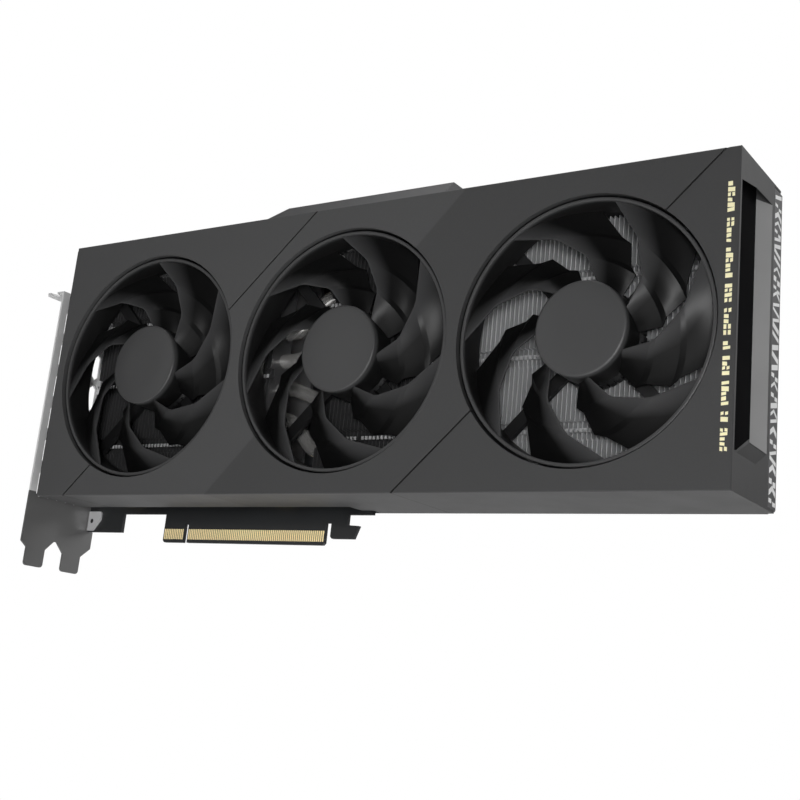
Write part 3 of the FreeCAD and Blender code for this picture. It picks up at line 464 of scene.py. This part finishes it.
def front_marks():
    """A line of cream tick marks up the cover's right edge, in groups, with no lettering."""
    draw = random.Random(7)
    centre = 297.7
    half = 1.15
    split_half = 0.25
    short_end = 0.35
    gap = 0.42
    group_gap = 1.6
    z = 12.0
    outlines = []
    for group in (5, 2, 5, 4, 2, 5, 4, 6, 5, 6):
        for _ in range(group):
            length = draw.choice((1.0, 1.25, 1.25, 1.5))
            lean = draw.choice((-0.2, 0.0, 0.2))
            styles = (((-half, half),), ((-half, -split_half), (split_half, half)), ((-half, short_end),))
            spans = styles[draw.randrange(3)]
            for low, high in spans:
                outlines.append([card_point(centre + low, 0, z), card_point(centre + high, 0, z + lean),
                                 card_point(centre + high, 0, z + length + lean),
                                 card_point(centre + low, 0, z + length)])
            z += length + gap
        z += group_gap
    corners, faces = prisms(outlines, Vector((0, -PAINT_THICKNESS, 0)))
    piece("front_tick_marks", corners, faces, "cream_paint")


def strip_marks():
    """White bars and chevrons along the end strip, with no lettering."""
    draw = random.Random(11)
    inset = 1.2 * MM
    gap = 1.2 * MM
    top_margin = 3.5 * MM
    slant = 1.6 * MM
    peak = 1.8 * MM
    step = 0.8 * MM
    half_gap = 0.5 * MM
    y0 = trim_low.y + inset
    y1 = trim_high.y - inset
    middle = (y0 + y1) / 2
    z = trim_low.z + inset
    outlines = []

    def bar(start, end, rise, fall, width):
        """A bar from one place across the strip to another, each a height above the last mark."""
        return [(start, rise), (end, fall), (end, fall + width), (start, rise + width)]

    while z < trim_high.z - top_margin:
        width = draw.choice((1.1, 1.4, 1.8)) * MM
        chevron = [(y0, 0), (middle, peak), (y1, 0), (y1, width), (middle, peak + width), (y0, width)]
        marks = (
            [bar(y0, y1, 0, slant, width)],
            [chevron],
            [bar(y0, y1, slant, 0, width)],
            [bar(y0, middle - half_gap, step, step, width), bar(middle + half_gap, y1, 0, 0, width)],
        )[draw.randrange(4)]
        outlines += [[Vector((trim_high.x, y, z + rise)) for y, rise in mark] for mark in marks]
        z += gap + width + draw.choice((0.1, 0.4, 0.9)) * MM
    corners, faces = prisms(outlines, Vector((PAINT_THICKNESS, 0, 0)))
    piece("strip_bar_marks", corners, faces, "white_paint")


def recess_panel():
    """The light grey sloped panel of the end recess, a thin plate just off the slope."""
    recess_depth = 4.2
    lift = 0.06
    length = (right_x - left_x) / MM
    floor = length - recess_depth
    out = Vector((lift, -lift, 0)) * MM
    slope = ((floor, 27.0, 20.5), (length, 31.3, 17.5), (length, 31.3, 102.2), (floor, 27.0, 103.3))
    corners, faces = prisms([[card_point(*corner) + out for corner in slope]], out * 0.5)
    piece("recess_slope_panel", corners, faces, "panel_grey")


def left_shadow_strip():
    """A black strip along the shroud's left edge that narrows the gap to the bracket, a sheet of painted shade
    where the gap lies in shadow.
    """
    low, high = -1.8, -0.05
    near, far = 1.2, 5.0
    edge = 0.5
    margin = 1.0
    outline = ((low, near + edge), (low + edge, near), (high, near), (high, far), (low, far))
    corners, faces = prisms([[card_point(x, y, margin) for x, y in outline]],
                            Vector((0, 0, top_z - bottom_z - 2 * margin * MM)))
    piece("left_edge_shadow_strip", corners, faces, "shadow_black")


def fin_tabs():
    """The small folded tabs that stand in the recessed rows, one on each fin."""
    pitch = 1.75 * MM
    width = 1.2 * MM
    half_height = 0.75 * MM
    depth = 0.45 * MM
    bevel = 0.22 * MM
    first_row, row_pitch, rows = 24.1, 26.8, 3
    corners = []
    faces = []
    for name in ("left_fin_stack", "middle_fin_stack", "right_fin_stack"):
        low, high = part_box(name)
        count = int((high.x - low.x) / pitch + 0.5)
        for row in range(rows):
            z = bottom_z + (first_row + row_pitch * row) * MM
            for i in range(count):
                x = low.x + i * pitch
                n = len(corners)
                for inset, y in ((0.0, low.y + depth), (bevel, low.y)):
                    x0, x1 = x + inset, x + width - inset
                    z0, z1 = z - half_height + inset, z + half_height - inset
                    corners += [Vector((x0, y, z0)), Vector((x1, y, z0)),
                                Vector((x1, y, z1)), Vector((x0, y, z1))]
                faces += [[n, n + 1, n + 2, n + 3], [n + 4, n + 5, n + 6, n + 7]]
                for j in range(4):
                    k = (j + 1) % 4
                    faces.append([n + j, n + k, n + 4 + k, n + 4 + j])
    piece("fin_tabs", corners, faces, "tab_aluminium")


# ---- rotors, in millimetres from the fan's axis and behind the front face ----------------------------

BLADE_COUNT = 7
FIRST_BLADE_ANGLES = (93.3, 97.0, 78.9)
# radius, leading angle, trailing angle, leading depth, trailing depth of a blade's kinks
BLADE_KINKS = (
    (16.2, -56.0, -79.0, 2.4, 10.6),
    (24.8, -41.0, -76.0, 2.1, 10.9),
    (26.4, -38.0, -69.0, 2.0, 10.8),
    (33.8, -22.0, -61.5, 1.8, 11.1),
    (35.4, -19.0, -54.5, 1.7, 11.0),
    (45.5, 0.0, -40.5, 1.9, 11.2),
)
# share of the chord, and the share of the blade's fall that it has reached there
BLADE_CHORD = (
    (0.0, 0.0), (0.045, 0.008), (0.10, 0.04), (0.18, 0.10), (0.28, 0.19), (0.40, 0.33), (0.52, 0.49),
    (0.64, 0.64), (0.76, 0.79), (0.88, 0.91), (1.0, 1.0),
)
BLADE_THICKNESS = 1.0
EDGE_THICKNESS = 0.45
ROWS_PER_KINK = 3
# closed profiles of radius and depth: the hub's cap, with a rounded rim and an open back, and the tip ring
CAP_PROFILE = (
    (0.02, 0.0), (8.0, 0.0), (15.6, 0.0), (16.15, 0.12), (16.48, 0.38), (16.6, 0.8), (16.6, 11.0),
    (15.4, 11.0), (15.4, 1.6), (8.0, 1.6), (0.02, 1.6),
)
CAP_SIDES = 96
RING_PROFILE = (
    (46.2, 1.7), (46.05, 1.35), (45.7, 1.2), (45.3, 1.2), (44.95, 1.35), (44.8, 1.7),
    (44.8, 12.5), (46.2, 12.5),
)
RING_SIDES = 144


def polar(radius, angle, depth):
    """A point about a fan's axis."""
    return Vector((radius * math.cos(angle), depth, radius * math.sin(angle))) * MM


def lathe(profile, centre, sides):
    """Corners and faces of a closed profile turned about a fan's axis."""
    corners = []
    faces = []
    rows = len(profile)
    for i in range(sides):
        angle = 2 * math.pi * i / sides
        corners += [centre + polar(radius, angle, depth) for radius, depth in profile]
        n = (i + 1) % sides
        for j in range(rows):
            k = (j + 1) % rows
            faces.append([i * rows + j, i * rows + k, n * rows + k, n * rows + j])
    return corners, faces


def blade_grid(turn):
    """Rows of points on the front of a blade, ruled between its kinks, and the rows where the kinks are."""
    lines = []
    for radius, lead, trail, lead_depth, trail_depth in BLADE_KINKS:
        line = []
        drop = trail_depth - lead_depth - BLADE_THICKNESS
        for share, fall in BLADE_CHORD:
            angle = turn + math.radians(lead + (trail - lead) * share)
            line.append(polar(radius, angle, lead_depth + drop * fall))
        lines.append(line)
    grid = []
    kink_rows = []
    for low, high in zip(lines, lines[1:]):
        kink_rows.append(len(grid))
        for step in range(ROWS_PER_KINK):
            grid.append([a.lerp(b, step / ROWS_PER_KINK) for a, b in zip(low, high)])
    grid.append(lines[-1])
    return grid, kink_rows


def blades(centre, first_angle):
    """Corners, faces and creases of the swept blades, thinner at both edges than between them."""
    corners = []
    faces = []
    creases = []
    columns = len(BLADE_CHORD)
    swell = BLADE_THICKNESS - EDGE_THICKNESS
    thickness = [EDGE_THICKNESS + swell * math.sin(math.pi * j / (columns - 1)) for j in range(columns)]
    for number in range(BLADE_COUNT):
        grid, kink_rows = blade_grid(math.radians(first_angle + number * 360.0 / BLADE_COUNT))
        rows = len(grid)
        first = len(corners)
        behind = rows * columns
        corners += [centre + point for row in grid for point in row]
        for row in grid:
            corners += [centre + point + Vector((0, thick * MM, 0)) for point, thick in zip(row, thickness)]

        def at(row, column, side):
            return first + side * behind + row * columns + column

        for side in range(2):
            for i in range(rows - 1):
                for j in range(columns - 1):
                    faces.append([at(i, j, side), at(i, j + 1, side),
                                  at(i + 1, j + 1, side), at(i + 1, j, side)])
            for i in kink_rows:
                creases += [(at(i, j, side), at(i, j + 1, side)) for j in range(columns - 1)]
            creases += [(at(i, 1, side), at(i + 1, 1, side)) for i in range(rows - 1)]
        for i in range(rows - 1):
            for j in (0, columns - 1):
                faces.append([at(i, j, 0), at(i + 1, j, 0), at(i + 1, j, 1), at(i, j, 1)])
                creases += [(at(i, j, 0), at(i + 1, j, 0)), (at(i, j, 1), at(i + 1, j, 1))]
        for i in (0, rows - 1):
            for j in range(columns - 1):
                faces.append([at(i, j, 0), at(i, j + 1, 0), at(i, j + 1, 1), at(i, j, 1)])
    return corners, faces, creases


def rotors():
    """Each fan's cap, ring and blades, which stand for the plain CAD rotor at the same place."""
    for joint, first_angle in zip(frame["joints"], FIRST_BLADE_ANGLES):
        body = joint["child"]
        x, _, z = joint["pos_m"]
        centre = Vector((x, front_y, z))
        shapes = (
            ("cap", "cap_plastic", *lathe(CAP_PROFILE, centre, CAP_SIDES), ()),
            ("ring", "cap_plastic", *lathe(RING_PROFILE, centre, RING_SIDES), ()),
            ("blades", "rotor_plastic", *blades(centre, first_angle)),
        )
        for name, finish, corners, faces, creases in shapes:
            new = piece(body + "_" + name, corners, faces, finish, body, True, creases)
            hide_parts(body.replace("fan", "rotor"))


# ---- everything --------------------------------------------------------------------------------------

make_camera()
make_world()
make_lights()
make_floor()
made = {name: surface(name, colour, rough, **more) for name, (colour, rough, more) in FINISHES.items()}
dress_cad_nodes()
front_marks()
strip_marks()
recess_panel()
left_shadow_strip()
fin_tabs()
rotors()
